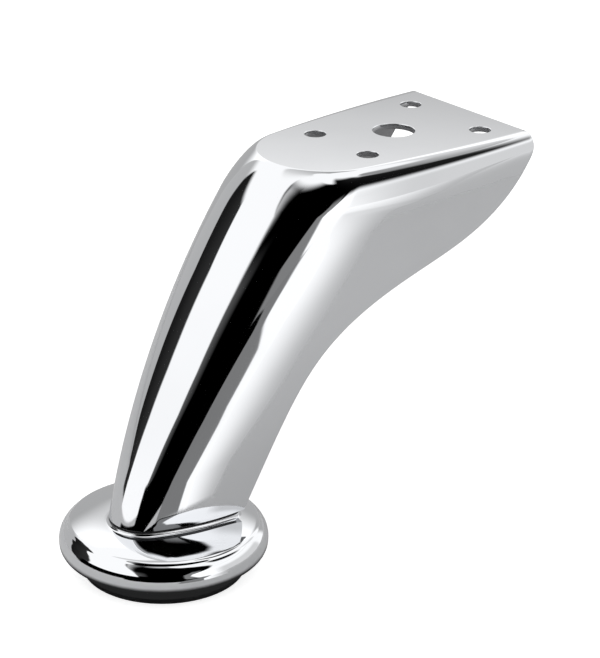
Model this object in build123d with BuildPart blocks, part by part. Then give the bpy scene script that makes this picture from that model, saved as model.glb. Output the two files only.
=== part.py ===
"""Cast sofa leg: an open-backed channel leg that kicks forward to a round foot.

Frame: millimetres, +Z up, the front of the leg towards -Y.
The origin is the middle of the large hole, on the top face of the fixing plate.
"""

import os
from math import cos, radians, sin, sqrt

from build123d import *

# Overall height, and the height of the foot below the joint line
leg_height = 120.0
foot_height = 18.3

# Fixing plate and its holes
plate_thickness = 1.8
plate_rear = 31.8
centre_hole_diameter = 12.9
fixing_hole_diameter = 6.5
front_hole_y = -21.1
front_hole_spacing = 24.2
rear_hole_y = 21.2
rear_hole_spacing = 31.6

# Leg section: a bullet outline that narrows from the plate down to the joint
wall = 1.8
body_width = 59.2
joint_width = 30.8
body_nose_radius = 26.1
joint_nose_radius = 11.0
body_side_length = 84.5
joint_side_length = 32.0
joint_flank_length = 4.2
taper_power = 1.3
rear_margin = 6.0
outer_section_count = 13
inner_section_count = 10

# Front spine: one arc in side view, from the plate down to the joint
spine_top_y = -50.8
spine_joint_y = -106.6
spine_radius = 230.0

# Soft shoulder between the plate's flat and the body
side_shoulder = 5.3
side_shoulder_depth = 12.0
side_shoulder_power = 3.0
nose_shoulder = 5.7
tip_shoulder = 2.9
nose_shoulder_depth = 11.0
nose_shoulder_power = 1.7

# Rear edge of the channel in side view, as (y, depth below the plate face)
heel_depth = 3.0
heel = (29.2, 8.4)
belly_rear = (22.0, 16.9)
belly = (8.2, 26.7)
belly_front = (-13.4, 34.8)
knee_rear = (-34.4, 44.1)
knee = (-47.6, 54.9)
shin = (-58.6, 72.2)
shin_lean = 0.36

# Foot joint: web, screw boss, and the key that stops the foot turning
foot_setback = 17.8
web_thickness = 4.0
boss_diameter = 13.0
boss_height = 10.0
joint_bevel = 0.3
key_length = 17.0
key_width = 10.0
key_height = 1.5
key_corner_radius = 2.0
fit_clearance = 0.15

# Foot: a disc with a rim of three arcs on a base ring, hollow below, with a collar on top
foot_diameter = 63.0
rim_top_radius = 5.6
rim_side_radius = 9.0
rim_under_radius = 3.5
rim_top_turn = 21.0
rim_under_turn = 8.0
base_diameter = 51.0
collar_height = 1.4
collar_corner_radius = 3.5
collar_base_radius = 1.0
foot_roof = 3.0
base_wall = 3.5
hub_diameter = 19.0

# Foot screw
screw_diameter = 5.0
screw_length = 20.0
screw_head_diameter = 9.5
screw_head_height = 3.4
head_edge_bevel = 0.6
drive_width = 4.0
drive_depth = 1.8
thread_clearance = 0.1
passage_clearance = 0.3
head_clearance = 0.5

# Glide pad
pad_diameter = 49.4
pad_thickness = 2.0
pad_edge_bevel = 0.5
plug_height = 1.2

# Levels and places that follow from the sizes above
joint_depth = leg_height - foot_height
joint_z = -joint_depth
floor_z = -leg_height
hollow_depth = joint_depth - web_thickness
rear_joint_y = spine_joint_y + joint_side_length + joint_flank_length
foot_axis_y = spine_joint_y + foot_setback
section_rear = max(plate_rear, spine_top_y + tip_shoulder + body_side_length) + rear_margin
disc_top_z = joint_z - collar_height
base_z = floor_z + pad_thickness
base_radius = base_diameter / 2
rim_rise = rim_top_radius + (rim_side_radius - rim_top_radius) * sin(radians(rim_top_turn))
rim_side_centre = (foot_diameter / 2 - rim_side_radius, disc_top_z - rim_rise)
counterbore_radius = screw_head_diameter / 2 + head_clearance
head_top_z = base_z + plug_height + head_clearance + screw_head_height
foot_axis = Axis((0, foot_axis_y, 0), (0, 0, 1))
foot_profile_plane = Plane.YZ.shift_origin((0, foot_axis_y, 0))


def shoulder_inset(depth, reach, power):
    """Share of the shoulder still cut away at this depth: 1 at the plate's face, 0 below the shoulder."""
    if depth >= reach:
        return 0.0
    return 1 - (1 - (1 - depth / reach) ** power) ** (1 / power)


def spine_y(depth):
    """Front of the body at this depth, on an arc that bulges forward."""
    run = spine_joint_y - spine_top_y
    chord = sqrt(run**2 + joint_depth**2)
    to_centre = sqrt(spine_radius**2 - chord**2 / 4)
    centre_y = (spine_top_y + spine_joint_y) / 2 + to_centre * joint_depth / chord
    centre_depth = joint_depth / 2 - to_centre * run / chord
    return centre_y - sqrt(spine_radius**2 - (depth - centre_depth) ** 2)


def section_sizes(depth):
    """Half width, nose radius, nose position and side length of the body's section at this depth."""
    share = depth / joint_depth
    below = max(0.0, depth - side_shoulder_depth) / (joint_depth - side_shoulder_depth)
    side_inset = shoulder_inset(depth, side_shoulder_depth, side_shoulder_power)
    nose_inset = shoulder_inset(depth, nose_shoulder_depth, nose_shoulder_power)
    taper = (body_width - joint_width) / 2 * below**taper_power
    half_width = body_width / 2 - taper - side_shoulder * side_inset
    nose = body_nose_radius + (joint_nose_radius - body_nose_radius) * share - nose_shoulder * nose_inset
    tip = spine_y(depth) + tip_shoulder * nose_inset
    length = body_side_length + (joint_side_length - body_side_length) * share
    return half_width, nose, tip, length


def front_wall(depth):
    """Wall thickness of the leaning front, measured level."""
    step = wall / 4
    lean = (spine_y(depth) - spine_y(depth - step)) / step
    return wall * sqrt(1 + lean**2)


def graded_depths(start, end, count):
    """Depths of the loft's sections, close together under the plate and wider apart below."""
    return [start + (end - start) * (index / count) ** 2 for index in range(count + 1)]


def bullet(half_width, nose, tip, length, rear):
    """Draw the closed bullet outline: nose arc, two tangent side arcs, straight flanks, rear line."""
    reach = length - nose
    side = (half_width**2 + reach**2 - nose**2) / (2 * (half_width - nose))
    tangent_x = nose * (side - half_width) / (side - nose)
    tangent_y = tip + nose - nose * reach / (side - nose)
    flank_y = tip + length
    along_x = tip + nose - tangent_y
    ThreePointArc((-tangent_x, tangent_y), (0, tip), (tangent_x, tangent_y))
    TangentArc((tangent_x, tangent_y), (half_width, flank_y), tangent=(along_x, tangent_x))
    Polyline((half_width, flank_y), (half_width, rear), (-half_width, rear), (-half_width, flank_y))
    TangentArc((-tangent_x, tangent_y), (-half_width, flank_y), tangent=(-along_x, tangent_x))


def rim_centre(turn, radius):
    """Middle of the rim arc that meets the side arc where its normal has this angle."""
    shift = rim_side_radius - radius
    return rim_side_centre[0] + shift * cos(radians(turn)), rim_side_centre[1] + shift * sin(radians(turn))


# Hollow of the channel, from under the plate down to the web: a tool to cut with
with BuildPart() as hollow:
    for depth in graded_depths(plate_thickness, hollow_depth, inner_section_count):
        half_width, nose, tip, length = section_sizes(depth)
        setback = front_wall(depth)
        with BuildSketch(Plane.XY.offset(-depth)):
            with BuildLine():
                bullet(half_width - wall, nose - wall, tip + setback, length - setback, section_rear + wall)
            make_face()
    loft()

# Leg casting: plate, channel and web in one piece
with BuildPart() as leg_casting:
    for depth in graded_depths(0, joint_depth, outer_section_count):
        with BuildSketch(Plane.XY.offset(-depth)):
            with BuildLine():
                bullet(*section_sizes(depth), section_rear)
            make_face()
    loft()
    add(hollow.part, mode=Mode.SUBTRACT)
    # Screw boss on the web
    with Locations((0, foot_axis_y, joint_z + web_thickness)):
        Cylinder(boss_diameter / 2, boss_height, align=(Align.CENTER, Align.CENTER, Align.MIN))
    # Open back: all that lies behind the rear edge is cut away
    with BuildSketch(Plane.YZ):
        with BuildLine():
            Polyline((plate_rear, -heel_depth), (plate_rear, leg_height), (leg_height, leg_height))
            Polyline((leg_height, leg_height), (leg_height, floor_z), (rear_joint_y, floor_z))
            Line((rear_joint_y, floor_z), (rear_joint_y, joint_z))
            Spline(
                (plate_rear, -heel_depth),
                (heel[0], -heel[1]),
                (belly_rear[0], -belly_rear[1]),
                (belly[0], -belly[1]),
                (belly_front[0], -belly_front[1]),
                (knee_rear[0], -knee_rear[1]),
                (knee[0], -knee[1]),
                (shin[0], -shin[1]),
                (rear_joint_y, joint_z),
                tangents=((0, -1), (-shin_lean, -1)),
            )
        make_face()
    extrude(amount=body_width, both=True, mode=Mode.SUBTRACT)
    # Large centre hole and the four fixing holes
    Hole(centre_hole_diameter / 2, depth=2 * plate_thickness)
    for hole_y, spacing in ((front_hole_y, front_hole_spacing), (rear_hole_y, rear_hole_spacing)):
        with Locations((-spacing / 2, hole_y, 0), (spacing / 2, hole_y, 0)):
            Hole(fixing_hole_diameter / 2, depth=2 * plate_thickness)
    # Screw hole through web and boss, and the pocket for the foot's key
    with Locations((0, foot_axis_y, joint_z)):
        Cylinder(
            screw_diameter / 2 + thread_clearance,
            web_thickness + boss_height,
            align=(Align.CENTER, Align.CENTER, Align.MIN),
            mode=Mode.SUBTRACT,
        )
    with BuildSketch(Plane.XY.offset(joint_z)):
        with Locations((0, foot_axis_y)):
            RectangleRounded(
                key_width + 2 * fit_clearance,
                key_length + 2 * fit_clearance,
                key_corner_radius + fit_clearance,
            )
    extrude(amount=key_height + fit_clearance, mode=Mode.SUBTRACT)

# Foot casting: turned disc, collar under the leg, key, hollow underside and screw passage
with BuildPart() as foot_casting:
    with BuildSketch(foot_profile_plane):
        with BuildLine():
            top_centre = rim_centre(rim_top_turn, rim_top_radius)
            under_centre = rim_centre(-rim_under_turn, rim_under_radius)
            top_arc = CenterArc(top_centre, rim_top_radius, 90, rim_top_turn - 90)
            CenterArc(rim_side_centre, rim_side_radius, rim_top_turn, -rim_top_turn - rim_under_turn)
            under_arc = CenterArc(under_centre, rim_under_radius, -rim_under_turn, rim_under_turn - 90)
            ring_top = (base_radius, (under_arc @ 1).Y)
            Polyline(under_arc @ 1, ring_top, (base_radius, base_z), (0, base_z))
            Polyline((0, base_z), (0, disc_top_z), top_arc @ 0)
        make_face()
    revolve(axis=foot_axis)
    with BuildSketch(Plane.XY.offset(joint_z)):
        with BuildLine():
            bullet(*section_sizes(joint_depth), rear_joint_y)
        collar_face = make_face()
        fillet(collar_face.vertices().group_by(Axis.Y)[-1], collar_corner_radius)
    extrude(amount=-collar_height - rim_top_radius)
    collar_foot = foot_casting.edges(Select.LAST).filter_by_position(
        Axis.Z, disc_top_z - joint_bevel, disc_top_z + joint_bevel
    )
    fillet(collar_foot, collar_base_radius)
    chamfer(foot_casting.faces().sort_by(Axis.Z)[-1].outer_wire().edges(), joint_bevel)
    with BuildSketch(Plane.XY.offset(joint_z)):
        with Locations((0, foot_axis_y)):
            RectangleRounded(key_width, key_length, key_corner_radius)
    extrude(amount=key_height)
    with BuildSketch(Plane.XY.offset(base_z)):
        with Locations((0, foot_axis_y)):
            Circle(base_radius - base_wall)
            Circle(hub_diameter / 2, mode=Mode.SUBTRACT)
    extrude(amount=disc_top_z - foot_roof - base_z, mode=Mode.SUBTRACT)
    with BuildSketch(Plane.XY.offset(base_z)):
        with Locations((0, foot_axis_y)):
            Circle(counterbore_radius)
    extrude(amount=head_top_z - base_z, mode=Mode.SUBTRACT)
    with BuildSketch(Plane.XY.offset(base_z)):
        with Locations((0, foot_axis_y)):
            Circle(screw_diameter / 2 + passage_clearance)
    extrude(amount=foot_height + key_height, mode=Mode.SUBTRACT)

# Foot screw: pan head below, shank up into the leg's boss
with BuildPart() as foot_screw:
    with Locations((0, foot_axis_y, head_top_z)):
        Cylinder(
            screw_head_diameter / 2,
            screw_head_height,
            align=(Align.CENTER, Align.CENTER, Align.MAX),
        )
    chamfer(foot_screw.faces().sort_by(Axis.Z)[0].edges(), head_edge_bevel)
    with BuildSketch(Plane.XY.offset(head_top_z - screw_head_height)):
        with Locations((0, foot_axis_y)):
            RegularPolygon(drive_width / 2, 6, major_radius=False)
    extrude(amount=drive_depth, mode=Mode.SUBTRACT)
    with Locations((0, foot_axis_y, head_top_z)):
        Cylinder(
            screw_diameter / 2,
            screw_length,
            align=(Align.CENTER, Align.CENTER, Align.MIN),
        )

# Glide pad: the disc on the floor, with a plug that holds it in the foot's counterbore
with BuildPart() as glide_pad:
    with Locations((0, foot_axis_y, floor_z)):
        Cylinder(
            pad_diameter / 2,
            pad_thickness,
            align=(Align.CENTER, Align.CENTER, Align.MIN),
        )
    chamfer(glide_pad.faces().sort_by(Axis.Z)[0].edges(), pad_edge_bevel)
    with Locations((0, foot_axis_y, base_z)):
        Cylinder(
            counterbore_radius - fit_clearance,
            plug_height,
            align=(Align.CENTER, Align.CENTER, Align.MIN),
        )

os.makedirs("parts", exist_ok=True)
leg_casting.part.label = "leg_casting"
export_step(leg_casting.part, "parts/leg_casting.step")
foot_casting.part.label = "foot_casting"
export_step(foot_casting.part, "parts/foot_casting.step")
foot_screw.part.label = "foot_screw"
export_step(foot_screw.part, "parts/foot_screw.step")
glide_pad.part.label = "glide_pad"
export_step(glide_pad.part, "parts/glide_pad.step")
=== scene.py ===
"""Looks of the cast sofa leg: two chrome castings, their screw and the glide pad, in a plain white studio.

Frame: metres, +Z up, the front of the leg towards -Y, the origin in the middle of the plate's large hole.
Sizes of the pieces are in millimetres, as on a drawing, and become metres when a mesh is made. The studio
and the camera are in metres.
"""

import logging
import math
from dataclasses import dataclass
from enum import Enum
from typing import Any, Callable, ClassVar, Iterable, Sequence, Union

import bmesh
import bpy
import numpy as np
from bmesh.types import BMVert
from bpy.types import ID, Material, Mesh, Node, NodeSocket, NodeTree, Object
from mathutils import Matrix, Vector


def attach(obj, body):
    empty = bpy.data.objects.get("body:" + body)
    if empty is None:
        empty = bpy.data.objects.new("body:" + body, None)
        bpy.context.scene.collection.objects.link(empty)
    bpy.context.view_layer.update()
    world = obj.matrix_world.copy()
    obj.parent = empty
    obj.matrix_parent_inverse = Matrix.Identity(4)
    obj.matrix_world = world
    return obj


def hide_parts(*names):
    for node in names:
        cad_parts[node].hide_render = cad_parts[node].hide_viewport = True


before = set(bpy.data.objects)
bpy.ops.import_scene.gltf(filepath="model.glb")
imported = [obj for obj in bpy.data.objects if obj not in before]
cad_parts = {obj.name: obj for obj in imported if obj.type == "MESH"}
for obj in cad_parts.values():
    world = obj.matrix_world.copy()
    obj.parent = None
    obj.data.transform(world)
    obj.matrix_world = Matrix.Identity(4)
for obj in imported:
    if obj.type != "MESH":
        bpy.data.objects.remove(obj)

Number = Union[float, "Wire"]
Pair = tuple[float, float]
Triple = tuple[float, float, float]
Run = Sequence[BMVert]

LOG = logging.getLogger("sofa_leg")
MM = 0.001
WHITE = (1.0, 1.0, 1.0, 1.0)
# Vertex attribute that is 1 where a casting isn't polished, and on the foot's seam groove, where the
# rough-cast colour is painted shade.
DULL_AND_SHADE = "dull_and_shade"
# Points closer than this become one, in millimetres.
WELD = 1e-5
# The foot's axis, in millimetres.
FOOT_AXIS_Y = -88.8
# Middles of the panels that hang close to the leg's shoulder and to the foot's rim, in metres.
SHOULDER: Triple = (0.02, 0.0, -0.006)
RIM: Triple = (0.0, -0.0888, -0.108)


class Slot(Enum):
    """The record's material slots."""

    LEG = "leg_chrome"
    FOOT = "foot_chrome"
    SCREW = "screw_steel"
    PAD = "pad_plastic"


def method(operation: str, reflected: bool = False) -> Callable[..., "Wire"]:
    """Make one of a wire's methods.

    Args:
        operation: the Math node's operation.
        reflected: whether the wire comes after the other number.

    Returns:
        The method.
    """

    def apply(wire: "Wire", *others: Number) -> "Wire":
        """Put the wire and the other numbers through a Math node."""
        return wire.graph.math(operation, *((*others, wire) if reflected else (wire, *others)))

    return apply


class Wire:
    """A number that runs through a node tree, with Python's arithmetic."""

    __add__, __radd__ = method("ADD"), method("ADD", reflected=True)
    __sub__, __rsub__ = method("SUBTRACT"), method("SUBTRACT", reflected=True)
    __mul__, __rmul__ = method("MULTIPLY"), method("MULTIPLY", reflected=True)
    __truediv__, __rtruediv__ = method("DIVIDE"), method("DIVIDE", reflected=True)
    __pow__, __rpow__ = method("POWER"), method("POWER", reflected=True)
    at_least, at_most, above = method("MAXIMUM"), method("MINIMUM"), method("GREATER_THAN")
    root, size, sign = method("SQRT"), method("ABSOLUTE"), method("SIGN")
    sine, cosine, arcsine = method("SINE"), method("COSINE"), method("ARCSINE")

    def __init__(self, graph: "Graph", socket: NodeSocket) -> None:
        """Wrap an output socket of a tree."""
        self.graph = graph
        self.socket = socket

    def __neg__(self) -> "Wire":
        """The number with its sign turned."""
        return self * -1.0

    def smooth(self, start: float, end: float) -> "Wire":
        """A soft step.

        Args:
            start: where it leaves zero.
            end: where it reaches one.

        Returns:
            The stepped number.
        """
        settings = {"interpolation_type": "SMOOTHSTEP"}
        step = self.graph.node("ShaderNodeMapRange", settings, {"Value": self, 1: start, 2: end})
        return self.graph.wire(step)


class Graph:
    """Makes the nodes of one tree."""

    def __init__(self, tree: NodeTree) -> None:
        """Hold the tree that the nodes go into."""
        self.tree = tree

    def node(
        self,
        kind: str,
        settings: dict[str, Any] | None = None,
        sockets: dict[Union[str, int], Any] | None = None,
    ) -> Node:
        """Add a node, set it up and link it.

        Args:
            kind: the node's type name.
            settings: its own settings; "bends" fills a float curve.
            sockets: values, wires or sockets for its inputs, by name or place.

        Returns:
            The new node.
        """
        made = self.tree.nodes.new(kind)
        for name, value in (settings or {}).items():
            if name == "bends":
                self._fill_curve(made, value)
            else:
                setattr(made, name, value)
        for key, value in (sockets or {}).items():
            target = made.inputs[key]
            source = value.socket if isinstance(value, Wire) else value
            if isinstance(source, NodeSocket):
                self.tree.links.new(source, target)
            else:
                target.default_value = source
        return made

    def math(self, operation: str, *values: Number) -> Wire:
        """Result of a Math node on its values in order."""
        return self.wire(self.node("ShaderNodeMath", {"operation": operation}, dict(enumerate(values))))

    def wire(self, node: Node, output: Union[str, int] = 0) -> Wire:
        """One of a node's outputs as a wire."""
        return Wire(self, node.outputs[output])

    @staticmethod
    def _fill_curve(node: Node, bends: Sequence[Pair]) -> None:
        """Put the bends on a float curve.

        Args:
            node: the curve's node.
            bends: places from left to right.
        """
        curve = node.mapping.curves[0]
        while len(curve.points) < len(bends):
            curve.points.new(0.5, 0.5)
        for point, place in zip(curve.points, bends):
            point.location = place
            point.handle_type = "AUTO_CLAMPED"
        node.mapping.use_clip = False
        node.mapping.update()


class Paint(Graph):
    """The node tree of one material."""

    def __init__(self, name: str) -> None:
        """Start an empty material."""
        self.material = bpy.data.materials.new(name)
        self.material.use_nodes = True
        super().__init__(self.material.node_tree)
        self.tree.nodes.clear()

    def show(self, shader: Node) -> Material:
        """Send a shader to the surface and give the material."""
        self.node("ShaderNodeOutputMaterial", {}, {"Surface": shader.outputs[0]})
        return self.material

    def noise(self, scale: float, detail: float, stretch: Triple = (1.0, 1.0, 1.0)) -> Wire:
        """Even noise from zero to one, on Object coordinates.

        Args:
            scale: waves per metre.
            detail: finer layers.
            stretch: factors along X, Y and Z.

        Returns:
            The noise.
        """
        here = self.node("ShaderNodeTexCoord").outputs["Object"]
        place = self.node("ShaderNodeMapping", {}, {"Vector": here, "Scale": stretch}).outputs[0]
        node = self.node("ShaderNodeTexNoise", {}, {"Vector": place, "Scale": scale, "Detail": detail})
        return self.wire(node, "Fac")

    def blend(self, share: Number, *colours: Union[Triple, NodeSocket]) -> NodeSocket:
        """Mix two colours.

        Args:
            share: how much of the second.
            colours: the first and the second, as values or sockets.

        Returns:
            The mixed colour's socket.
        """
        ends = [(*colour, 1.0) if isinstance(colour, tuple) else colour for colour in colours]
        mix = self.node("ShaderNodeMix", {"data_type": "RGBA"}, {0: share, 6: ends[0], 7: ends[1]})
        return mix.outputs[2]

    def cover(
        self, colour: NodeSocket, rough: Number, metal: Number, relief: Wire, height: float,
        strength: float = 1.0,
    ) -> Material:
        """Close the material with a plain surface.

        Args:
            colour: its base colour.
            rough: its roughness.
            metal: how far it is a metal.
            relief: the fine shape of its skin.
            height: the relief's height in metres.
            strength: how far the relief shows.

        Returns:
            The material.
        """
        bump = self.node("ShaderNodeBump", {}, {"Strength": strength, "Distance": height, "Height": relief})
        skin = {"Base Color": colour, "Metallic": metal, "Roughness": rough, "Normal": bump.outputs[0]}
        return self.show(self.node("ShaderNodeBsdfPrincipled", {}, skin))


class Rule(Graph):
    """A geometry node tree with named inputs, which draws a mesh."""

    KINDS = {float: "NodeSocketFloat", int: "NodeSocketInt", type(None): "NodeSocketGeometry"}

    def __init__(self, name: str, inputs: dict[str, float | int | None]) -> None:
        """Start a tree.

        Args:
            name: its name.
            inputs: its inputs with their values; None is the shape that it works on.
        """
        super().__init__(bpy.data.node_groups.new(name, "GeometryNodeTree"))
        self.inputs = inputs
        for key, value in inputs.items():
            self._socket(key, "INPUT", self.KINDS[type(value)])
        self._socket("Finish", "INPUT", "NodeSocketMaterial")
        self._socket("Shape", "OUTPUT", "NodeSocketGeometry")
        self.given = self.node("NodeGroupInput").outputs

    def _socket(self, name: str, way: str, kind: str) -> None:
        """Add an input or an output to the tree."""
        self.tree.interface.new_socket(name=name, in_out=way, socket_type=kind)

    def close(self, shape: Node) -> None:
        """Make a shape real, dress it and give it out."""
        solid = self.node("GeometryNodeRealizeInstances", {}, {0: shape.outputs[0]})
        finish = {"Geometry": solid.outputs[0], "Material": self.given["Finish"]}
        dressed = self.node("GeometryNodeSetMaterial", {}, finish)
        self.node("NodeGroupOutput", {}, {0: dressed.outputs[0]})

    def draw(self, base: Mesh, values: dict[str, Any]) -> Mesh:
        """Run the tree.

        Args:
            base: the mesh that it works on, which is used up.
            values: inputs that differ from the tree's own.

        Returns:
            The drawn mesh.
        """
        holder = link(base.name, base)
        modifier = holder.modifiers.new("rule", "NODES")
        modifier.node_group = self.tree
        sockets = self.tree.interface.items_tree
        names = {item.name: item.identifier for item in sockets if item.in_out == "INPUT"}
        for name, value in {**self.inputs, **values}.items():
            if value is not None:
                modifier[names[name]] = value
        shown = holder.evaluated_get(bpy.context.evaluated_depsgraph_get())
        drawn = bpy.data.meshes.new_from_object(shown)
        holder.modifiers.remove(modifier)
        bpy.data.objects.remove(holder)
        bpy.data.meshes.remove(base)
        return drawn


@dataclass(frozen=True)
class PolishedChrome:
    """Bright chrome plate on a buffed casting, thin and dull where the buff can't reach."""

    name: str
    bright: Triple = (0.83, 0.84, 0.858)
    hazy: Triple = (0.80, 0.81, 0.828)
    # Colour of the unpolished casting; on the foot it only covers the seam groove, as painted shade.
    rough_cast_and_shade: Triple = (0.20, 0.20, 0.205)
    gloss: float = 0.035
    haze: float = 0.03
    cast_gloss: float = 0.42
    cast_grain: float = 0.15
    cast_metal: float = 1.0
    cloud_scale: float = 24.0
    cloud_edge: Pair = (0.42, 0.72)
    wipe_scale: float = 420.0
    wipe_stretch: Triple = (1.0, 1.0, 0.16)
    grain_scale: float = 900.0
    wave_scale: float = 38.0
    wave_stretch: Triple = (1.0, 1.0, 0.7)
    wave_height: float = 0.000012

    def material(self) -> Material:
        """Make the finish: faint plating haze, wipe marks, slow waves from buffing, and a dull inside.

        Returns:
            The material.
        """
        paint = Paint(self.name)
        veil = paint.noise(self.cloud_scale, detail=3.0).smooth(*self.cloud_edge)
        wipe = paint.noise(self.wipe_scale, detail=2.0, stretch=self.wipe_stretch)
        grain = paint.noise(self.grain_scale, detail=3.0)
        wave = paint.noise(self.wave_scale, detail=1.0, stretch=self.wave_stretch)
        # The mask is also 1 in the foot's seam groove, so there the rough-cast colour is painted shade.
        dull_and_shade = paint.wire(paint.node("ShaderNodeAttribute", {"attribute_name": DULL_AND_SHADE}), "Fac")
        polished = self.gloss + self.haze * veil * wipe
        rough = polished + dull_and_shade * (self.cast_gloss + self.cast_grain * grain - polished)
        metal = 1.0 + dull_and_shade * (self.cast_metal - 1.0)
        colour = paint.blend(dull_and_shade, paint.blend(veil, self.bright, self.hazy), self.rough_cast_and_shade)
        return paint.cover(colour, rough, metal, wave, self.wave_height)


@dataclass(frozen=True)
class PlatedSteel:
    """Zinc-plated steel of the screw."""

    name: str
    light: Triple = (0.62, 0.63, 0.66)
    dark: Triple = (0.42, 0.43, 0.46)
    gloss: float = 0.26
    haze: float = 0.16
    cloud_scale: float = 260.0
    mark_scale: float = 5200.0
    mark_stretch: Triple = (0.05, 0.05, 1.0)
    mark_height: float = 0.00002
    mark_strength: float = 0.4

    def material(self) -> Material:
        """Make the finish: cloudy plating with fine turning marks.

        Returns:
            The material.
        """
        paint = Paint(self.name)
        cloud = paint.noise(self.cloud_scale, detail=4.0)
        marks = paint.noise(self.mark_scale, detail=1.0, stretch=self.mark_stretch)
        colour = paint.blend(cloud, self.dark, self.light)
        rough = self.gloss + self.haze * cloud
        return paint.cover(colour, rough, 1.0, marks, self.mark_height, self.mark_strength)


@dataclass(frozen=True)
class MouldedPlastic:
    """Black moulded plastic of the glide pad."""

    name: str
    skin: Triple = (0.012, 0.012, 0.013)
    dusty: Triple = (0.035, 0.034, 0.033)
    gloss: float = 0.42
    haze: float = 0.2
    grain_scale: float = 3600.0
    grain_height: float = 0.00005
    grain_strength: float = 0.5
    dust_scale: float = 90.0
    dust_edge: Pair = (0.5, 0.8)

    def material(self) -> Material:
        """Make the finish: fine moulded grain with a little dust.

        Returns:
            The material.
        """
        paint = Paint(self.name)
        grain = paint.noise(self.grain_scale, detail=3.0)
        dust = paint.noise(self.dust_scale, detail=4.0).smooth(*self.dust_edge)
        colour = paint.blend(dust, self.skin, self.dusty)
        rough = self.gloss + self.haze * grain
        return paint.cover(colour, rough, 0.0, grain, self.grain_height, self.grain_strength)


class Shell:
    """Collects the points and faces of one piece, in millimetres."""

    def __init__(self) -> None:
        """Start with nothing."""
        self.mesh = bmesh.new()
        self.dull_and_shade = self.mesh.verts.layers.float.new(DULL_AND_SHADE)

    def points(self, places: np.ndarray, dull_and_shade: float = 0.0) -> list[BMVert]:
        """Add a run of points.

        Args:
            places: X, Y and Z by row.
            dull_and_shade: how far from polished the surface is there, from zero to one; on the foot's seam
                groove it gives painted shade.

        Returns:
            The new vertices.
        """
        made = [self.mesh.verts.new(place) for place in places]
        for point in made:
            point[self.dull_and_shade] = dull_and_shade
        return made

    def face(self, corners: Run) -> None:
        """Add one face."""
        self.mesh.faces.new(corners)

    def strip(self, first: Run, second: Run, closed: bool = False) -> None:
        """Join two runs of points with four-sided faces.

        Args:
            first: one run.
            second: the other run, as long.
            closed: whether the runs are loops.
        """
        count = len(first)
        for here in range(count if closed else count - 1):
            ahead = (here + 1) % count
            self.face((first[here], first[ahead], second[ahead], second[here]))

    def tube(self, rings: Sequence[Run]) -> None:
        """Join closed loops one after the other."""
        for first, second in zip(rings, rings[1:]):
            self.strip(first, second, closed=True)

    def fill(self, loops: Iterable[Run]) -> None:
        """Fill the flat area between an outer loop and the loops inside it, with a crisp border.

        Args:
            loops: the outer loop and the inner ones.
        """
        edges = []
        for loop in loops:
            for here, corner in enumerate(loop):
                pair = (loop[here - 1], corner)
                edges.append(self.mesh.edges.get(pair) or self.mesh.edges.new(pair))
        bmesh.ops.triangle_fill(self.mesh, use_beauty=True, use_dissolve=False, edges=edges)
        for edge in edges:
            edge.smooth = False

    def finish(self, name: str, material: Material, sharp_degrees: float) -> Object:
        """Make the object.

        Args:
            name: the piece's name.
            material: its finish.
            sharp_degrees: edges that turn by more stay crisp.

        Returns:
            The object, at the origin and in metres.
        """
        bmesh.ops.remove_doubles(self.mesh, verts=self.mesh.verts, dist=WELD)
        bmesh.ops.recalc_face_normals(self.mesh, faces=self.mesh.faces)
        limit = math.radians(sharp_degrees)
        for edge in self.mesh.edges:
            if len(edge.link_faces) == 2 and edge.calc_face_angle(0.0) > limit:
                edge.smooth = False
        for face in self.mesh.faces:
            face.smooth = True
        bmesh.ops.scale(self.mesh, vec=(MM, MM, MM), verts=self.mesh.verts)
        data = bpy.data.meshes.new(name)
        self.mesh.to_mesh(data)
        self.mesh.free()
        data.materials.append(material)
        return link(name, data)


def link(name: str, data: ID) -> Object:
    """Put new data into the scene.

    Args:
        name: the object's name.
        data: its mesh, lamp or camera.

    Returns:
        The object.
    """
    made = bpy.data.objects.new(name, data)
    bpy.context.scene.collection.objects.link(made)
    return made


def settle(piece: Object, slot: Slot, *nodes: str) -> None:
    """Hand a finished piece to the frame.

    Args:
        piece: the piece.
        slot: the record's material slot; not used.
        nodes: CAD nodes that it stands for.
    """
    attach(piece, "root")
    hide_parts(*nodes)
    spans = ["%.1f" % (span / MM) for span in piece.dimensions]
    LOG.info("%s: %d faces, %s mm", piece.name, len(piece.data.polygons), " x ".join(spans))


def ring(radius: float, height: float, steps: int, middle: Pair) -> np.ndarray:
    """Points of a level circle.

    Args:
        radius: its radius.
        height: its Z.
        steps: how many points.
        middle: X and Y of its middle.

    Returns:
        An array of points.
    """
    angle = np.arange(steps) * 2 * np.pi / steps
    across = middle[0] + radius * np.sin(angle)
    along = middle[1] - radius * np.cos(angle)
    return np.stack([across, along, np.full(steps, height)], -1)


def arc(middle: Pair, radius: float, start: float, end: float, steps: int) -> list[Pair]:
    """Points of an arc in a profile of radius and height.

    Args:
        middle: the arc's middle.
        radius: its radius.
        start: first angle in degrees, from the outward direction up.
        end: last angle in degrees.
        steps: how many parts.

    Returns:
        The points, both ends included.
    """
    angles = np.radians(np.linspace(start, end, steps + 1))
    return [(middle[0] + radius * math.cos(a), middle[1] + radius * math.sin(a)) for a in angles]


def aim(azimuth: float, elevation: float) -> Vector:
    """Unit vector towards an azimuth, 0 at the front and 90 at +X, and an elevation, in degrees."""
    turn, rise = math.radians(azimuth), math.radians(elevation)
    return Vector((math.sin(turn) * math.cos(rise), -math.cos(turn) * math.cos(rise), math.sin(rise)))


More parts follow.
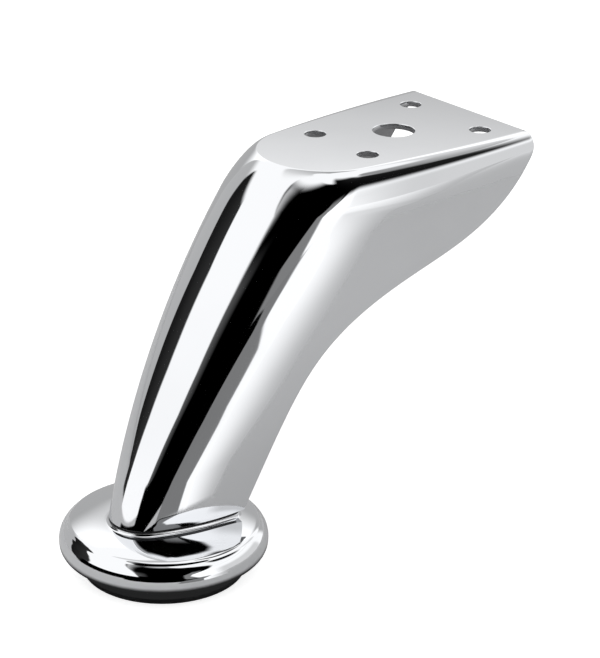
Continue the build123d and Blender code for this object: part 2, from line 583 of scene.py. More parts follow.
@dataclass
class LegCasting:
    """The plate and the open-backed channel below it."""

    SKIN_SIZES: ClassVar[tuple[str, ...]] = (
        "height", "body_width", "joint_width", "body_nose", "joint_nose", "body_length", "joint_length",
        "edge_round",
    )

    height: float = 101.7
    plate: float = 1.8
    wall: float = 1.8
    web: float = 4.0
    seam_rise: float = 0.8
    body_width: float = 59.2
    joint_width: float = 30.8
    body_nose: float = 26.1
    joint_nose: float = 11.0
    body_length: float = 84.5
    joint_length: float = 32.0
    taper_power: float = 1.3
    spine_top: float = -50.8
    spine_joint: float = -106.6
    spine_radius: float = 230.0
    side_shoulder: float = 5.3
    side_shoulder_depth: float = 12.0
    side_shoulder_power: float = 3.0
    nose_shoulder: float = 5.7
    tip_shoulder: float = 2.9
    nose_shoulder_depth: float = 11.0
    nose_shoulder_power: float = 1.7
    plate_rear: float = 31.8
    heel_depth: float = 3.0
    rear_edge: tuple[Pair, ...] = (
        (29.2, 8.4), (22.0, 16.9), (8.2, 26.7), (-13.4, 34.8), (-34.4, 44.1), (-47.6, 54.9), (-58.6, 72.2),
    )
    rear_joint: float = -70.4
    shin_lean: float = 0.36
    rear_steps: int = 4
    edge_round: float = 0.35
    round_steps: int = 4
    heart: Triple = (0.0, -20.0, -60.0)
    hole_radius: float = 6.45
    hole_steps: int = 96
    screw_hole_radius: float = 3.25
    screw_hole_steps: int = 64
    screw_holes: tuple[Pair, ...] = ((-12.1, -21.1), (12.1, -21.1), (-15.8, 21.2), (15.8, 21.2))
    rim_round: float = 0.22
    rows: int = 190
    columns: int = 92
    row_power: float = 2.2
    nose_share: float = 0.4
    boss_radius: float = 6.5
    boss_height: float = 10.0
    boss_bore: float = 2.6
    boss_fillet: float = 1.5
    boss_skirt: float = 0.5
    boss_sink: float = 0.2
    boss_edge: float = 0.6
    boss_lip: float = 0.4
    boss_steps: int = 64
    sharp_degrees: float = 40.0
    finish: PolishedChrome = PolishedChrome(Slot.LEG.value, rough_cast_and_shade=(0.34, 0.34, 0.35), cast_metal=0.4)

    def build(self) -> None:
        """Make the casting and put it in the CAD casting's place."""
        material = self.finish.material()
        rule = self._skin_rule()
        shell = Shell()
        outer = self._skin(rule, material, 0.0, 0.0, self.height - self.seam_rise)
        inner = self._skin(rule, material, self.wall, self.plate, self.height - self.web)
        self._weld(shell, outer, inner)
        self._boss(shell)
        settle(shell.finish("cast_leg", material, self.sharp_degrees), Slot.LEG, "leg_casting")

    def _rear_bends(self) -> list[Pair]:
        """The rear edge as shares of the depth and of the reach: a smooth run through the drawing's bends.

        Returns:
            Places for a float curve.
        """
        ends = (self.plate_rear, self.heel_depth), (self.rear_joint, self.height)
        bends = np.array([ends[0], *self.rear_edge, ends[1]])
        gap = np.linalg.norm(np.diff(bends, axis=0), axis=1)[:, None]
        pace = np.diff(bends, axis=0) / gap
        slopes = np.eye(len(bends))
        known = np.zeros_like(bends)
        known[0] = (0.0, 1.0)
        known[-1] = np.array((-self.shin_lean, 1.0)) / math.hypot(self.shin_lean, 1.0)
        for here in range(1, len(bends) - 1):
            before, after = gap[here - 1, 0], gap[here, 0]
            slopes[here, here - 1 : here + 2] = (after, 2 * (before + after), before)
            known[here] = 3 * (after * pace[here - 1] + before * pace[here])
        lean = np.linalg.solve(slopes, known)
        t = np.linspace(0.0, 1.0, self.rear_steps, endpoint=False)[None, :, None]
        first, second, span = bends[:-1, None], bends[1:, None], gap[:, None]
        run = (1 + 2 * t) * (1 - t) ** 2 * first + t**2 * (3 - 2 * t) * second
        run = run + span * t * (1 - t) ** 2 * lean[:-1, None] - span * t**2 * (1 - t) * lean[1:, None]
        places = np.vstack([(self.plate_rear, 0.0), run.reshape(-1, 2), bends[-1]])
        reach = self.plate_rear - self.rear_joint
        return [(depth / self.height, (y - self.rear_joint) / reach) for y, depth in places]

    def _skin_rule(self) -> Rule:
        """Make the rule that draws one skin of the channel.

        Returns:
            The rule, whose inputs are sizes in millimetres.
        """
        sizes = {"Wall": 0.0, "First Depth": 0.0, "Last Depth": self.height}
        for name in self.SKIN_SIZES:
            sizes[name.replace("_", " ").title()] = getattr(self, name)
        rule = Rule("channel_skin", sizes)
        size = {name: Wire(rule, rule.given[name]) for name in sizes}
        counts = {"Vertices X": 2 * self.columns + 1, "Vertices Y": self.rows + 1}
        grid = rule.node("GeometryNodeMeshGrid", {}, {"Size X": 2.0, "Size Y": 1.0, **counts})
        here = rule.node("GeometryNodeInputPosition").outputs[0]
        split = rule.node("ShaderNodeSeparateXYZ", {}, {0: here})
        across = rule.wire(split, "X")
        down = (0.5 - rule.wire(split, "Y")).at_least(0.0)
        depth = size["First Depth"] + (size["Last Depth"] - size["First Depth"]) * down**self.row_power
        x, y = self._outline(rule, size, depth, across)
        place = rule.node("ShaderNodeCombineXYZ", {}, {0: x, 1: y, 2: -depth}).outputs[0]
        rule.close(rule.node("GeometryNodeSetPosition", {}, {"Geometry": grid.outputs[0], "Position": place}))
        return rule

    @staticmethod
    def _shoulder(depth: Wire, reach: float, power: float) -> Wire:
        """Share of a shoulder that is still cut away at a depth."""
        rest = (1 - depth / reach).at_least(0.0)
        return 1 - (1 - rest**power).at_least(0.0) ** (1 / power)

    def _outline(self, graph: Graph, size: dict[str, Wire], depth: Wire, across: Wire) -> tuple[Wire, Wire]:
        """Draw the bullet outline of the channel at a depth.

        Args:
            graph: the tree.
            size: the named sizes.
            depth: depth below the plate's face.
            across: from -1 at the left rear edge, over 0 at the nose, to 1 at the right rear edge.

        Returns:
            X and Y.
        """
        run = self.spine_joint - self.spine_top
        chord = math.hypot(run, self.height)
        to_centre = math.sqrt(self.spine_radius**2 - chord**2 / 4)
        centre_y = (self.spine_top + self.spine_joint) / 2 + to_centre * self.height / chord
        centre_depth = self.height / 2 - to_centre * run / chord
        share = depth / size["Height"]
        below = (depth - self.side_shoulder_depth).at_least(0.0) / (size["Height"] - self.side_shoulder_depth)
        side_cut = self._shoulder(depth, self.side_shoulder_depth, self.side_shoulder_power)
        nose_cut = self._shoulder(depth, self.nose_shoulder_depth, self.nose_shoulder_power)
        level = (self.spine_radius**2 - (depth - centre_depth) ** 2.0).root()
        front_wall = size["Wall"] * self.spine_radius / level
        taper = (size["Body Width"] - size["Joint Width"]) / 2 * below**self.taper_power
        half = size["Body Width"] / 2 - taper - self.side_shoulder * side_cut - size["Wall"]
        nose = size["Body Nose"] + (size["Joint Nose"] - size["Body Nose"]) * share
        nose = nose - self.nose_shoulder * nose_cut - size["Wall"]
        tip = centre_y - level + self.tip_shoulder * nose_cut + front_wall
        length = size["Body Length"] + (size["Joint Length"] - size["Body Length"]) * share - front_wall
        reach = length - nose
        side = (half * half + reach * reach - nose * nose) / (2 * (half - nose))
        turn = -(reach / (side - nose)).arcsine()
        flank = tip + length
        bend = graph.node("ShaderNodeFloatCurve", {"bends": self._rear_bends()}, {"Value": share})
        rear = self.rear_joint + graph.wire(bend) * (self.plate_rear - self.rear_joint)
        past = rear - flank
        last_turn = (past.at_most(0.0) / side).arcsine()
        side_run = side * (last_turn - turn)
        whole = side_run + past.at_least(0.0)
        away = across.size()
        step = 1 / self.columns
        on_nose = (away / self.nose_share).at_most(1.0)
        on_side = ((away - self.nose_share) / (1 - step - self.nose_share)).at_least(0.0).at_most(1.0)
        on_edge = away.above(1 - step / 2)
        gone = on_side * (whole - size["Edge Round"]) + on_edge * size["Edge Round"]
        nose_turn = -math.pi / 2 + (turn + math.pi / 2) * on_nose
        side_turn = turn + gone.at_most(side_run) / side
        x = nose * nose_turn.cosine() + side * (side_turn.cosine() - turn.cosine())
        y = tip + nose + nose * nose_turn.sine() + side * (side_turn.sine() - turn.sine())
        return across.sign() * x, y + (gone - side_run).at_least(0.0)

    def _skin(self, rule: Rule, material: Material, wall: float, first: float, last: float) -> np.ndarray:
        """Draw one skin with the rule.

        Args:
            rule: the rule.
            material: the finish.
            wall: how far inside the outer face it lies.
            first: its top depth.
            last: its bottom depth.

        Returns:
            Points by row, from the top, and column, from the left rear edge round the nose.
        """
        values = {"Wall": wall, "First Depth": first, "Last Depth": last, "Finish": material}
        drawn = rule.draw(bpy.data.meshes.new("skin"), values)
        places = np.empty(len(drawn.vertices) * 3)
        drawn.vertices.foreach_get("co", places)
        bpy.data.meshes.remove(drawn)
        return places.reshape(2 * self.columns + 1, self.rows + 1, 3).transpose(1, 0, 2)[::-1]

    def _lip(self, skin: np.ndarray, column: int, inside: float) -> np.ndarray:
        """Round one rear edge of a skin.

        Args:
            skin: the skin's points.
            column: 0 for the left edge or -1 for the right one.
            inside: 1 for the outer skin and -1 for the inner one.

        Returns:
            Points by row, from the skin round to the rear face.
        """
        near = skin[:, 1 if column == 0 else -2]
        corner = skin[:, column]
        along = np.gradient(corner, axis=0)
        normal = np.cross(along, corner - near)
        normal /= np.linalg.norm(normal, axis=1, keepdims=True)
        outward = np.sign(np.sum(normal * (corner - np.array(self.heart)), axis=1, keepdims=True))
        into = corner - normal * outward * inside * self.edge_round
        steps = np.linspace(0.0, 1.0, self.round_steps + 1)[1:, None, None]
        bent = (1 - steps) ** 2 * near + 2 * steps * (1 - steps) * corner + steps**2 * into
        return bent.transpose(1, 0, 2)

    def _weld(self, shell: Shell, outer: np.ndarray, inner: np.ndarray) -> None:
        """Join both skins with rounded rear edges, the drilled plate and the web.

        Args:
            shell: what the faces go into.
            outer: points of the outer skin.
            inner: points of the inner skin.
        """
        faces = []
        for skin, inside, dull_and_shade in ((outer, 1.0, 0.0), (inner, -1.0, 1.0)):
            left = self._lip(skin, 0, inside)
            right = self._lip(skin, -1, inside)
            rows = [
                shell.points(np.vstack([left[row][::-1], skin[row, 1:-1], right[row]]), dull_and_shade)
                for row in range(len(skin))
            ]
            for above, under in zip(rows, rows[1:]):
                shell.strip(above, under)
            faces.append(rows)
        outside, within = faces
        for end in (0, -1):
            shell.strip([row[end] for row in outside], [row[end] for row in within])
        for rows, flip in ((outside, 1), (within, -1)):
            top = rows[0]
            for step in range(self.round_steps):
                shell.face((top[step], top[step + 1], top[-step - 2], top[-step - 1])[::flip])
        for row in (0, -1):
            shell.face((outside[row][0], outside[row][-1], within[row][-1], within[row][0]))
        for rows in faces:
            shell.face(rows[-1])
            for here, corner in enumerate(rows[-1]):
                shell.mesh.edges.get((rows[-1][here - 1], corner)).smooth = False
        flat = slice(self.round_steps, -self.round_steps)
        self._drill(shell, outside[0][flat], within[0][flat])

    def _drill(self, shell: Shell, top: Run, under: Run) -> None:
        """Make both faces of the plate and the walls of its holes.

        Args:
            shell: what the faces go into.
            top: border of the upper face.
            under: border of the lower face.
        """
        upper, lower = [top], [under]
        holes = [((0.0, 0.0), self.hole_radius, self.hole_steps)]
        holes += [(place, self.screw_hole_radius, self.screw_hole_steps) for place in self.screw_holes]
        turns = np.radians(np.linspace(90.0, 0.0, self.round_steps + 1))
        for place, radius, steps in holes:
            edge = [
                (radius + self.rim_round * (1 - math.cos(turn)), self.rim_round * (1 - math.sin(turn)))
                for turn in turns
            ]
            loops = [(wide, -drop, 0.0) for wide, drop in edge]
            loops += [(wide, drop - self.plate, 1.0) for wide, drop in edge[::-1]]
            made = [shell.points(ring(wide, level, steps, place), dull_and_shade) for wide, level, dull_and_shade in loops]
            shell.tube(made)
            upper.append(made[0])
            lower.append(made[-1])
        shell.fill(upper)
        shell.fill(lower)

    def _boss(self, shell: Shell) -> None:
        """Make the screw boss that stands on the web.

        Args:
            shell: what the faces go into.
        """
        foot = -self.height + self.web
        top = foot + self.boss_height
        toe = self.boss_radius + self.boss_fillet
        edge, lip = self.boss_edge, self.boss_lip
        profile = [(toe + self.boss_skirt, foot - self.boss_sink), (toe, foot)]
        profile += arc((toe, foot + self.boss_fillet), self.boss_fillet, -90.0, -180.0, steps=6)
        profile += arc((self.boss_radius - edge, top - edge), edge, 0.0, 90.0, steps=4)
        profile += arc((self.boss_bore + lip, top - lip), lip, 90.0, 180.0, steps=4)
        profile += [(self.boss_bore, foot - self.boss_sink)]
        loops = [shell.points(ring(r, z, self.boss_steps, (0.0, FOOT_AXIS_Y)), 1.0) for r, z in profile]
        shell.tube(loops + loops[:1])


@dataclass
class FootCasting:
    """The round foot: a domed disc with a round rim, a collar under the leg and a base ring.

    The first seam_loops loops of the collar are the groove under the leg, painted dark as shade with the
    rough-cast colour. Each bend of the rim has a radius, the angle in degrees that it turns to and its steps,
    and a negative radius is hollow.
    """

    joint_z: float = -100.9
    tip: float = -106.6
    half_width: float = 15.4
    nose: float = 11.0
    length: float = 32.0
    rear: float = -70.4
    corner: float = 3.5
    outline_steps: tuple[int, int, int] = (60, 60, 24)
    seam: float = 0.8
    seam_depth: float = 1.2
    seam_loops: int = 3
    bevel: float = 0.15
    fillet: float = 0.7
    fillet_steps: int = 8
    dome_start: float = 15.0
    dome_turn: float = 16.0
    dome_power: float = 1.5
    dome_steps: int = 12
    rim_radius: float = 31.5
    rim_level: float = -110.0
    rim_bends: tuple[tuple[float, float, int], ...] = (
        (2.2, 58.0, 10), (-0.45, 38.0, 4), (6.3, 90.0, 18), (9.0, 98.0, 5), (3.5, 180.0, 18),
    )
    base_radius: float = 25.5
    base_fillet: float = 0.8
    base_edge: float = 0.3
    base_bottom: float = -118.0
    steps: int = 288
    sharp_degrees: float = 32.0
    finish: PolishedChrome = PolishedChrome(Slot.FOOT.value)

    def build(self) -> None:
        """Make the casting and put it in the CAD casting's place."""
        shell = Shell()
        middle = np.array([0.0, FOOT_AXIS_Y])
        profile = self._profile()
        loops = self._collar(middle, profile[0])
        start = loops[-1][:, :2] - middle
        bearing = np.arctan2(start[:, 0], -start[:, 1])
        edge = np.stack([np.sin(bearing), -np.cos(bearing)], -1) * profile[0][0]
        for share in np.linspace(0.0, 1.0, self.dome_steps + 1)[1:-1]:
            flat = start * (1 - share) + edge * share
            loops.append(np.column_stack([flat + middle, self._dome(flat, profile[0])]))
        for radius, height in profile:
            flat = edge / profile[0][0] * radius
            loops.append(np.column_stack([flat + middle, np.full(len(flat), height)]))
        # The seam loops take the rough-cast colour as painted shade in the groove under the leg.
        rings = [shell.points(loop, float(here < self.seam_loops)) for here, loop in enumerate(loops)]
        shell.tube(rings)
        shell.face(rings[0])
        shell.face(rings[-1])
        piece = shell.finish("cast_foot", self.finish.material(), self.sharp_degrees)
        settle(piece, Slot.FOOT, "foot_casting")

    def _profile(self) -> list[Pair]:
        """Rim and base of the foot, from bends that each run on from the one above.

        Returns:
            Places as radius and height, from the dome's edge down.
        """
        run, turn = np.zeros((1, 2)), self.dome_turn
        for radius, end, steps in self.rim_bends:
            turns = np.radians(np.linspace(turn, end, steps + 1))
            ways = np.column_stack([np.sin(turns), np.cos(turns)])
            run = np.vstack([run, run[-1] + radius * (ways[1:] - ways[0])])
            turn = end
        widest = run[run[:, 0].argmax()]
        run = run - widest + np.array([self.rim_radius, self.rim_level])
        hollow = (self.base_radius + self.base_fillet, run[-1, 1] - self.base_fillet)
        under = arc(hollow, self.base_fillet, 90.0, 180.0, steps=6)
        last = (self.base_radius - self.base_edge, self.base_bottom + self.base_edge)
        under += arc(last, self.base_edge, 0.0, -90.0, steps=4)
        return [tuple(place) for place in run.tolist()] + under

    def _dome(self, flat: np.ndarray, edge: Pair) -> np.ndarray:
        """Height of the disc's top, which turns down more and more towards the rim.

        Args:
            flat: level places from the foot's axis.
            edge: radius and height where the rim takes over.

        Returns:
            The heights.
        """
        span = edge[0] - self.dome_start
        share = np.clip((np.linalg.norm(flat, axis=1) - self.dome_start) / span, 0.0, 1.0)
        rise = math.tan(math.radians(self.dome_turn)) * span / (self.dome_power + 1)
        return edge[1] + rise * (1 - share ** (self.dome_power + 1))

    def _outline(self) -> np.ndarray:
        """Outline of the joint.

        Returns:
            X and Y by row, from the nose round, evenly spaced.
        """
        reach = self.length - self.nose
        side = (self.half_width**2 + reach**2 - self.nose**2) / (2 * (self.half_width - self.nose))
        turn = -math.asin(reach / (side - self.nose))
        on_nose, on_side, on_corner = self.outline_steps
        bends = (
            ((0.0, self.tip + self.nose), self.nose, np.linspace(-math.pi / 2, turn, on_nose)),
            ((self.half_width - side, self.tip + self.length), side, np.linspace(turn, 0.0, on_side)[1:]),
            (
                (self.half_width - self.corner, self.rear - self.corner),
                self.corner,
                np.linspace(0.0, math.pi / 2, on_corner),
            ),
        )
        half = [(x + r * math.cos(a), y + r * math.sin(a)) for (x, y), r, turns in bends for a in turns]
        right = np.array([*half, (0.0, self.rear)])
        left = right[::-1][1:-1] * np.array([-1.0, 1.0])
        loop = np.vstack([right, left, right[:1]])
        gone = np.concatenate([[0.0], np.cumsum(np.linalg.norm(np.diff(loop, axis=0), axis=1))])
        even = np.linspace(0.0, gone[-1], self.steps, endpoint=False)
        return np.column_stack([np.interp(even, gone, loop[:, 0]), np.interp(even, gone, loop[:, 1])])

    def _collar(self, middle: np.ndarray, edge: Pair) -> list[np.ndarray]:
        """Loops of the collar: dark seam under the leg, wall, and the fillet down to the disc.

        Args:
            middle: the foot's axis.
            edge: radius and height where the disc's top ends.

        Returns:
            The loops from the top down.
        """
        outline = self._outline()
        along = np.roll(outline, -1, axis=0) - np.roll(outline, 1, axis=0)
        normal = np.column_stack([along[:, 1], -along[:, 0]])
        normal = normal / np.linalg.norm(normal, axis=1, keepdims=True)
        rest = self.joint_z - self.seam
        steps = (self.seam_depth, self.joint_z), (self.seam_depth, rest), (self.bevel, rest)
        loops = [
            np.column_stack([outline - normal * inset, np.full(len(outline), level)])
            for inset, level in (*steps, (0.0, rest - self.bevel))
        ]
        for turn in np.radians(np.linspace(0.0, 90.0, self.fillet_steps + 1)):
            out = outline + normal * self.fillet * (1 - math.cos(turn))
            level = self._dome(out - middle, edge) + self.fillet * (1 - math.sin(turn))
            loops.append(np.column_stack([out, np.minimum(level, rest - self.bevel)]))
        return loops


@dataclass
class GlidePad:
    """The black pad that the foot stands on, turned about the foot's axis."""

    radius: float = 24.7
    top: float = -118.0
    floor: float = -120.0
    edge: float = 0.6
    top_edge: float = 0.2
    path_radius: float = 10.0
    steps: int = 128
    sharp_degrees: float = 30.0
    finish: MouldedPlastic = MouldedPlastic(Slot.PAD.value)

    def build(self) -> None:
        """Turn the pad and put it in the CAD pad's place."""
        material = self.finish.material()
        drawn = self._turn_rule().draw(self._profile(), {"Finish": material})
        shell = Shell()
        shell.mesh.from_mesh(drawn)
        bpy.data.meshes.remove(drawn)
        bmesh.ops.translate(shell.mesh, vec=(0.0, FOOT_AXIS_Y, 0.0), verts=shell.mesh.verts)
        settle(shell.finish("glide_disc", material, self.sharp_degrees), Slot.PAD, "glide_pad")

    def _profile(self) -> Mesh:
        """Draw the pad's half section, which stands off the turning path.

        Returns:
            A run of edges from the axis over the top and the side back to the axis.
        """
        run = [(0.0, self.top), (self.radius - self.top_edge, self.top)]
        run += [(self.radius, self.top - self.top_edge)]
        run += arc((self.radius - self.edge, self.floor + self.edge), self.edge, 0.0, -90.0, steps=6)
        run += [(0.0, self.floor)]
        places = [(r - self.path_radius, -z, 0.0) for r, z in run]
        base = bpy.data.meshes.new("glide_profile")
        base.from_pydata(places, [(here, here + 1) for here in range(len(places) - 1)], [])
        return base

    def _turn_rule(self) -> Rule:
        """Make the rule that sweeps a profile round a circle.

        Returns:
            The rule.
        """
        rule = Rule("turning", {"Profile": None, "Path Radius": self.path_radius, "Steps": self.steps})
        path = {"Resolution": rule.given["Steps"], "Radius": rule.given["Path Radius"]}
        circle = rule.node("GeometryNodeCurvePrimitiveCircle", {"mode": "RADIUS"}, path)
        line = rule.node("GeometryNodeMeshToCurve", {}, {0: rule.given["Profile"]})
        rule.close(rule.node("GeometryNodeCurveToMesh", {}, {0: circle.outputs[0], 1: line.outputs[0]}))
        return rule


@dataclass(frozen=True)
class Card:
    """A studio panel that only reflections show, with soft edges and a run of light across it.

    Rows go from low to high, each with its height, its left end and its right end. The light runs from
    left to right, or from low to high where upward is set, between the shares in ramp. Soft gives the
    faded share at the left, right, low and high edges.
    """

    name: str
    light: Pair
    soft: tuple[float, float, float, float]
    rows: tuple[Triple, ...]
    ramp: Pair = (0.0, 1.0)
    upward: bool = False

    def shares(self, steps: int) -> np.ndarray:
        """Give the shares of the panel's height to draw, its rows among them."""
        rise = np.array(self.rows, float)[:, 0]
        return np.union1d(np.linspace(0.0, 1.0, steps + 1), (rise - rise[0]) / (rise[-1] - rise[0]))

    def spot(self, u: float, v: float) -> Pair:
        """Find a point of the panel between its rows.

        Args:
            u: share from left to right.
            v: share from low to high.

        Returns:
            The place along the row and the row's height.
        """
        rise, left, right = np.array(self.rows, float).T
        height = rise[0] + (rise[-1] - rise[0]) * v
        start, end = np.interp(height, rise, left), np.interp(height, rise, right)
        return float(start + (end - start) * u), float(height)

    def place(self, u: float, v: float) -> Vector:
        """Give a point of the panel in metres."""
        raise NotImplementedError


@dataclass(frozen=True)
class SkyCard(Card):
    """A panel round a middle; rows are elevation and azimuths in degrees, azimuth 90 on the +X side."""

    distance: float = 1.6
    middle: Triple = (0.0, -0.075, -0.06)

    def place(self, u: float, v: float) -> Vector:
        """Give a point of the panel in metres."""
        return Vector(self.middle) + aim(*self.spot(u, v)) * self.distance


@dataclass(frozen=True)
class FloorCard(Card):
    """A panel on the floor; rows are distance from the foot's axis in mm and azimuths in degrees."""

    height: float = -119.7

    def place(self, u: float, v: float) -> Vector:
        """Give a point of the panel in metres."""
        turn, reach = self.spot(u, v)
        return (Vector((0.0, FOOT_AXIS_Y, self.height)) + aim(turn, 0.0) * reach) * MM


@dataclass
class Studio:
    """White floor and world, soft light, and the panels round the leg."""

    floor_z: float = -0.12
    floor_reach: float = 6.0
    floor_shades: tuple[Triple, Triple] = ((0.80, 0.80, 0.80), (0.82, 0.82, 0.82))
    floor_grain: float = 35.0
    floor_glow: float = 0.78
    sky_light: float = 1.15
    room_light: float = 0.42
    lamp_size: float = 0.9
    lamp_target: Triple = (0.0, -0.06, -0.05)
    lamps: tuple[tuple[str, Triple, float], ...] = (
        ("key", (0.5, -0.5, 0.9), 3.0),
        ("fill", (-0.7, 0.1, 0.8), 2.0),
    )
    panel_steps: int = 24
    cards: tuple[Card, ...] = (
        SkyCard("left_flag", (0.01, 0.03), (0.06, 0.1, 0.01, 0.1), distance=1.2, rows=(
            (-6, -47, -39), (-2, -52, -37), (0, -60, -35), (8, -66, -31), (16, -70, -31), (20, -78, -33),
            (29, -84, -41), (35, -84, -55), (39, -82, -60),
        )),
        SkyCard("left_wall", (0.52, 0.5), (0.05, 0.02, 0.01, 0.2), distance=1.5, rows=(
            (-6, -125, -46), (24, -125, -64), (36, -120, -74),
        )),
        SkyCard("gap", (0.0, 0.0), (0.06, 0.07, 0.01, 0.13), distance=1.8, rows=(
            (-8, 5, 96), (-4, 11, 95), (0, 16, 92), (8, 24, 86), (15, 24, 86), (22, 21, 92), (30, 17, 108),
            (38, 11, 116), (44, 5, 116), (50, -2, 109), (57, -13, 96), (61, -20, 83), (66, -26, 71),
            (70, -28, 62), (74, -28, 54),
        )),
        SkyCard("gap_rim", (0.1, 0.02), (0.2, 0.3, 0.01, 0.3), distance=1.7, rows=(
            (-6, 8, 20), (0, 17, 31), (8, 25, 39), (15, 25, 38), (30, 18.5, 35), (40, 12, 30),
        )),
        SkyCard("gap_glow", (0.65, 0.02), (0.25, 0.2, 0.5, 0.2), ramp=(0.0, 0.9), rows=(
            (38, 14, 20), (44, 8, 17), (50, 0, 14), (57, -10, 13), (61, -17, 15), (66, -22, 20),
            (70, -24, 24),
        )),
        SkyCard("right_edge", (0.24, 0.24), (0.15, 0.01, 0.01, 0.2), distance=1.45, rows=(
            (-6, 77, 94), (0, 74, 89), (11, 68, 82), (18, 72, 85), (27, 81, 93), (33, 84, 98),
        )),
        SkyCard("right_softbox", (1.25, 1.2), (0.04, 0.4, 0.01, 0.12), distance=1.35, rows=(
            (-6, 91, 119), (0, 86, 119), (11, 79, 120), (18, 82, 121), (23, 90, 121), (27, 99, 121),
            (31, 106, 120),
        )),
        SkyCard("right_wall", (0.76, 1.15), (0.01, 0.1, 0.01, 0.12),
                ramp=(0.5, 0.75), upward=True, distance=1.55, rows=(
            (-6, 108, 178), (34, 108, 178),
        )),
        SkyCard("ceiling", (0.0, 0.02), (0.18, 0.35, 0.23, 0.19), distance=0.11, middle=SHOULDER, rows=(
            (18, 66, 178), (29, 62, 178), (38, 52, 176), (43, 44, 168), (47, 40, 140), (52, 35, 112),
            (57, 32, 98), (61, 30, 86), (65, 30, 78),
        )),
        SkyCard("rear_wall", (0.3, 0.85), (0.1, 0.1, 0.1, 0.3), distance=0.2, middle=SHOULDER, rows=(
            (44, 118, 218), (52, 104, 218), (62, 104, 218),
        )),
        SkyCard("left_zenith", (0.42, 0.85), (0.05, 0.3, 0.15, 0.1), distance=1.9, rows=(
            (58, -170, -50), (66, -170, -36), (76, -170, -20), (84, -170, 0),
        )),
        SkyCard("low_flag", (0.0, 0.0), (0.06, 0.06, 0.1, 0.06), distance=0.09, middle=RIM, rows=(
            (-6, 30, 72), (13.7, 30, 72),
        )),
        SkyCard("low_flag_left", (0.0, 0.0), (0.1, 0.02, 0.1, 0.1), distance=0.05, middle=RIM, rows=(
            (-3, -24, 38), (6.3, -20, 38),
        )),
        SkyCard("backdrop", (0.46, 1.32), (0.1, 0.02, 0.1, 0.1),
                ramp=(0.48, 0.79), upward=True, distance=0.5, rows=(
            (-8, -175, -98), (44, -175, -98),
        )),
        FloorCard("gap_floor", (0.0, 0.0), (0.04, 0.02, 0.002, 0.01), rows=(
            (85, 24, 69), (110, 15, 74), (175, 13, 86), (280, 12, 90), (394, 12, 90.5), (600, 12, 87),
            (1200, 12, 81), (2600, 12, 79),
        )),
        FloorCard("right_edge_floor", (0.22, 0.22), (0.12, 0.02, 0.002, 0.01), height=-119.6, rows=(
            (56, 62, 86), (90, 66, 90), (112, 71, 93), (175, 84, 99), (280, 88, 103), (394, 88.5, 102),
            (600, 85, 100), (1200, 79, 98), (2600, 77, 97),
        )),
        FloorCard("right_far_floor", (0.52, 0.78), (0.02, 0.1, 0.01, 0.01),
                ramp=(0.0, 0.45), upward=True, height=-119.65, rows=(
            (400, 100, 175), (2600, 100, 175),
        )),
        FloorCard("right_band_floor", (1.2, 1.2), (0.15, 0.02, 0.002, 0.01), height=-119.4, rows=(
            (56, 84, 91), (85, 87, 92), (140, 95, 99), (240, 100, 105), (380, 97, 111), (600, 93, 112),
            (800, 91, 112), (1700, 87, 112), (2600, 86, 112),
        )),
        FloorCard("right_floor", (1.2, 0.55), (0.01, 0.1, 0.002, 0.01), height=-119.5, rows=(
            (56, 88, 109), (85, 89, 111), (140, 96, 118), (240, 102, 120), (380, 109, 120), (600, 109, 129),
            (1255, 109, 134), (2600, 109, 136),
        )),
        FloorCard("left_flag_floor", (0.02, 0.02), (0.1, 0.1, 0.05, 0.01), height=-119.5, rows=(
            (300, -49, -39), (2600, -48, -39),
        )),
        FloorCard("left_floor", (1.15, 1.15), (0.05, 0.04, 0.006, 0.001), height=-119.6, rows=(
            (260, -40, 16), (500, -40, 14), (9000, -40, 12),
        )),
        # Painted contact shadow: a dark ring on the floor round the foot, seen only in reflections, in place
        # of the shade under the foot.
        FloorCard("contact", (0.02, 0.02), (0.001, 0.001, 0.01, 0.5), height=-119.3, rows=(
            (20, -180, 180), (42, -180, 180),
        )),
    )

    def build(self) -> None:
        """Make the floor, the world, the lamps and the panels."""
        self._floor()
        self._world()
        for name, place, power in self.lamps:
            self._lamp(name, place, power)
        for card in self.cards:
            self._panel(card)

    @staticmethod
    def _seen(graph: Graph) -> tuple[Wire, Wire]:
        """Tell rays apart.

        Args:
            graph: the tree.

        Returns:
            One for what the camera sees, also through glass, and one for what reflections see.
        """
        path = graph.node("ShaderNodeLightPath")
        camera = graph.wire(path, "Is Camera Ray").at_least(graph.wire(path, "Is Transmission Ray"))
        return camera, graph.wire(path, "Is Glossy Ray")

    def _floor(self) -> None:
        """Make the pale floor, white to the camera and with the leg's shadow on it."""
        paint = Paint("white_sweep")
        seen, _ = self._seen(paint)
        shade = paint.blend(paint.noise(self.floor_grain, detail=3.0), *self.floor_shades)
        matt = paint.node("ShaderNodeBsdfDiffuse", {}, {"Color": shade})
        glow = paint.node("ShaderNodeEmission", {}, {"Color": self.floor_glow * seen})
        both = paint.node("ShaderNodeAddShader", {}, {0: matt.outputs[0], 1: glow.outputs[0]})
        mesh = bpy.data.meshes.new("sweep")
        signs = ((-1, -1), (1, -1), (1, 1), (-1, 1))
        corners = [(x * self.floor_reach, y * self.floor_reach, self.floor_z) for x, y in signs]
        mesh.from_pydata(corners, [], [(0, 1, 2, 3)])
        mesh.materials.append(paint.show(both))
        floor = link("sweep", mesh)

    def _world(self) -> None:
        """Make the white world, at a plain level for what it lights."""
        world = bpy.data.worlds.new("white_room")
        world.use_nodes = True
        world.node_tree.nodes.clear()
        graph = Graph(world.node_tree)
        seen, shiny = self._seen(graph)
        level = self.room_light + (1 - self.room_light) * seen + (self.sky_light - self.room_light) * shiny
        sky = graph.node("ShaderNodeBackground", {}, {"Color": WHITE, "Strength": level})
        graph.node("ShaderNodeOutputWorld", {}, {"Surface": sky.outputs[0]})
        bpy.context.scene.world = world

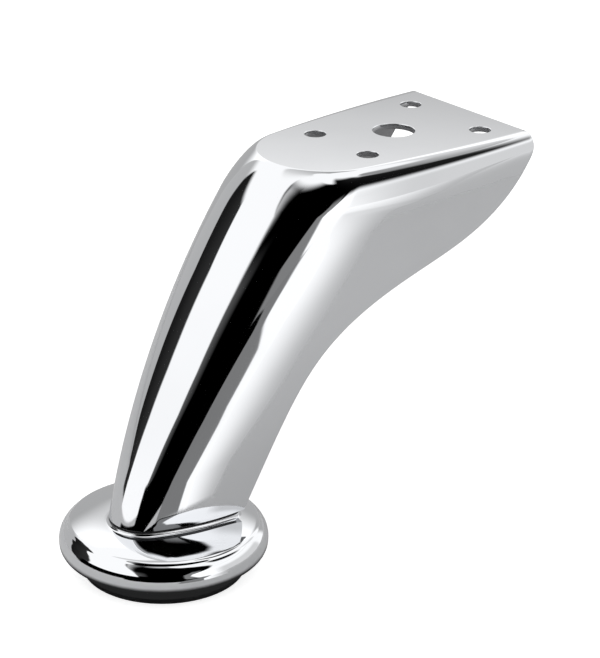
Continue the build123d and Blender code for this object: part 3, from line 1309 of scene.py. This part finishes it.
    def _lamp(self, name: str, place: Triple, power: float) -> None:
        """Add a soft lamp that looks at the leg.

        Args:
            name: the lamp's name.
            place: where it hangs.
            power: watts.
        """
        data = bpy.data.lights.new(name, "AREA")
        data.size = self.lamp_size
        data.energy = power
        lamp = link(name, data)
        lamp.location = place
        way = Vector(self.lamp_target) - Vector(place)
        lamp.rotation_euler = way.to_track_quat("-Z", "Y").to_euler()
        lamp.visible_glossy = False
        lamp.visible_camera = False

    def _panel(self, card: Card) -> None:
        """Hang one panel.

        Args:
            card: its rows, light and softness.
        """
        across, up = np.linspace(0.0, 1.0, self.panel_steps + 1), card.shares(self.panel_steps)
        spots = [(u, v) for v in up for u in across]
        wide = len(across)
        lows = [row * wide + here for row in range(len(up) - 1) for here in range(wide - 1)]
        mesh = bpy.data.meshes.new(card.name)
        quads = [(low, low + 1, low + wide + 1, low + wide) for low in lows]
        mesh.from_pydata([card.place(u, v) for u, v in spots], [], quads)
        layer = mesh.uv_layers.new(name="UVMap")
        for loop in mesh.loops:
            layer.data[loop.index].uv = spots[loop.vertex_index]
        mesh.materials.append(self._glow(card))
        panel = link(card.name, mesh)
        panel.visible_camera = False
        panel.visible_diffuse = False
        panel.visible_shadow = False

    @staticmethod
    def _glow(card: Card) -> Material:
        """Make a panel's light, clear towards its soft edges.

        Args:
            card: its light and softness.

        Returns:
            The material.
        """
        paint = Paint(card.name)
        uv = paint.node("ShaderNodeSeparateXYZ", {}, {0: paint.node("ShaderNodeTexCoord").outputs["UV"]})
        across, up = paint.wire(uv, 0), paint.wire(uv, 1)
        left, right, low, high = card.soft
        mask = across.smooth(0.0, left) * (1 - across).smooth(0.0, right)
        mask = mask * up.smooth(0.0, low) * (1 - up).smooth(0.0, high)
        start, end = card.light
        light = start + (end - start) * (up if card.upward else across).smooth(*card.ramp)
        glow = paint.node("ShaderNodeEmission", {}, {"Color": light})
        clear = paint.node("ShaderNodeBsdfTransparent")
        ends = {0: mask, 1: clear.outputs[0], 2: glow.outputs[0]}
        return paint.show(paint.node("ShaderNodeMixShader", {}, ends))


@dataclass
class PhotoCamera:
    """The camera at the photograph's place."""

    place: Triple = (0.53783, -0.48719, 0.2427)
    azimuth: float = 50.027
    elevation: float = 23.078
    roll: float = 0.702
    lens: float = 136.78
    sensor: float = 36.0
    clip: Pair = (0.01, 30.0)

    def build(self) -> None:
        """Make the camera and look through it."""
        turn = math.radians(self.azimuth)
        back = aim(self.azimuth, self.elevation)
        level = Vector((math.cos(turn), math.sin(turn), 0.0))
        right = Matrix.Rotation(math.radians(self.roll), 3, back) @ level
        basis = Matrix((right, back.cross(right), back)).transposed()
        data = bpy.data.cameras.new("photo_camera")
        data.sensor_fit = "AUTO"
        data.sensor_width = self.sensor
        data.lens = self.lens
        data.clip_start, data.clip_end = self.clip
        camera = link("photo_camera", data)
        camera.matrix_world = Matrix.Translation(Vector(self.place)) @ basis.to_4x4()
        bpy.context.scene.camera = camera


def dress_screw() -> None:
    """Give the CAD screw its plated finish."""
    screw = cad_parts["foot_screw"]
    screw.data.materials.clear()
    screw.data.materials.append(PlatedSteel(Slot.SCREW.value).material())


def main() -> None:
    """Build the studio, the camera and every piece."""
    logging.basicConfig(level=logging.INFO, format="%(name)s: %(message)s")
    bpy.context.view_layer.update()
    bpy.context.scene.view_settings.view_transform = "Standard"
    for part in (PhotoCamera(), Studio(), LegCasting(), FootCasting(), GlidePad()):
        part.build()
    dress_screw()


if __name__ == "__main__":
    main()
